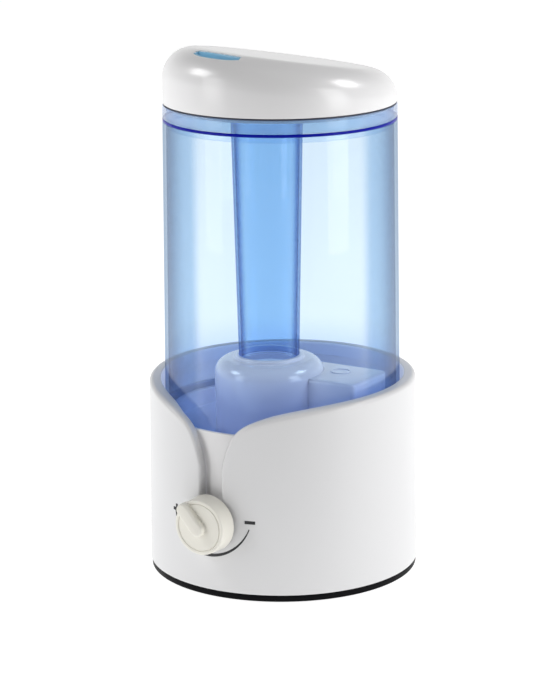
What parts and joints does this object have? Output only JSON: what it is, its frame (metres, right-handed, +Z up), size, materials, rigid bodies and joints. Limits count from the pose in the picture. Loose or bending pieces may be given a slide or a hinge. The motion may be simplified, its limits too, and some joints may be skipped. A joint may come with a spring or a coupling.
{
  "type": "cool mist humidifier",
  "caption": "Tower ultrasonic humidifier: white slotted base with a mist knob, lift-off clear blue tank with mist tube and dome, turning lid with a crescent outlet.",
  "frame": {"origin": "on the table plane under the tank axis, 1 mm below the middle of the pan underside", "axes": "+Z up along the tank axis, the control knob faces -Y, +X to the right seen from the front"},
  "size_m": [0.1836, 0.2034, 0.3584],
  "materials": {
    "white_plastic": "glossy white ABS, polished mould",
    "ivory_plastic": "satin ivory ABS",
    "clear_blue": "clear light blue tinted plastic",
    "deep_blue": "clear blue plastic seen edge on",
    "outlet_blue": "blue tinted plastic",
    "pale_blue_plastic": "smooth white plastic with a lavender cast",
    "black_plastic": "black moulded plastic",
    "rubber": "black rubber",
    "silicone": "translucent white silicone",
    "steel": "zinc plated steel",
    "aluminium": "extruded aluminium",
    "brass": "nickel brass disc",
    "copper_wire": "enamelled copper wire",
    "circuit_board": "green solder mask"
  },
  "bodies": {
    "base": {"base_pan": "black_plastic", "foot_1": "rubber", "foot_2": "rubber", "foot_3": "rubber", "foot_4": "rubber", "base_screw_1": "steel", "base_screw_2": "steel", "base_screw_3": "steel", "base_screw_4": "steel", "outer_shell": "white_plastic", "inner_housing": "white_plastic", "air_tower": "white_plastic", "cord_gland": "rubber", "mist_chimney": "white_plastic", "transducer_gasket": "silicone", "transducer": "brass", "transducer_retainer": "steel", "retainer_screw_1": "steel", "retainer_screw_2": "steel", "float_clip": "white_plastic", "reed_switch": "black_plastic", "driver_board": "circuit_board", "board_screw_1": "steel", "board_screw_2": "steel", "board_screw_3": "steel", "board_screw_4": "steel", "heat_sink": "aluminium", "power_transistor": "black_plastic", "capacitor": "black_plastic", "inductor": "copper_wire", "transformer_core": "steel", "transformer_coil": "copper_wire", "fan_frame": "black_plastic", "air_duct": "white_plastic", "potentiometer": "steel", "pot_nut": "steel"},
    "knob": {"knob": "ivory_plastic", "pot_shaft": "steel"},
    "fan": {"fan_rotor": "black_plastic"},
    "float": {"float": "white_plastic"},
    "tank": {"tank_wall": "clear_blue", "tank_floor": "pale_blue_plastic", "mist_dome": "pale_blue_plastic", "air_box": "pale_blue_plastic", "filler_neck": "pale_blue_plastic", "tank_top": "deep_blue", "tank_collar": "clear_blue", "mist_tube": "clear_blue", "tube_seal": "silicone"},
    "cap": {"filler_cap": "white_plastic", "cap_gasket": "silicone", "valve_spring": "steel"},
    "valve": {"valve_plunger": "white_plastic", "valve_seal": "silicone"},
    "lid_ring": {"lid_seat_ring": "rubber"},
    "lid": {"lid": "white_plastic", "outlet_insert": "outlet_blue"}
  },
  "joints": [
    {"name": "knob_turn", "type": "hinge", "parent": "base", "child": "knob", "pos_m": [0, -0.0925, 0.0524], "axis": [0, -1, 0], "range_deg": [0, 260]},
    {"name": "fan_spin", "type": "hinge", "parent": "base", "child": "fan", "pos_m": [0.046, -0.003, 0.014], "axis": [0, 0, 1], "continuous": true},
    {"name": "float_rise", "type": "slide", "parent": "base", "child": "float", "axis": [0, 0, 1], "range_m": [0, 0.0065]},
    {"name": "tank_lift", "type": "slide", "parent": "base", "child": "tank", "axis": [0, 0, 1], "range_m": [0, 0.15]},
    {"name": "cap_turn", "type": "hinge", "parent": "tank", "child": "cap", "pos_m": [0, 0.045, 0.095], "axis": [0, 0, 1], "range_deg": [0, 90]},
    {"name": "valve_travel", "type": "slide", "parent": "cap", "child": "valve", "axis": [0, 0, 1], "range_m": [-0.0034, 0], "deforming": ["valve_spring"]},
    {"name": "lid_lift", "type": "slide", "parent": "tank", "child": "lid_ring", "axis": [0, 0, 1], "range_m": [0, 0.08]},
    {"name": "lid_turn", "type": "hinge", "parent": "lid_ring", "child": "lid", "pos_m": [0, 0, 0.32], "axis": [0, 0, 1], "continuous": true}
  ],
  "couplings": [
    {"joint": "valve_travel", "follows": "tank_lift", "ratio": -0.022}
  ]
}
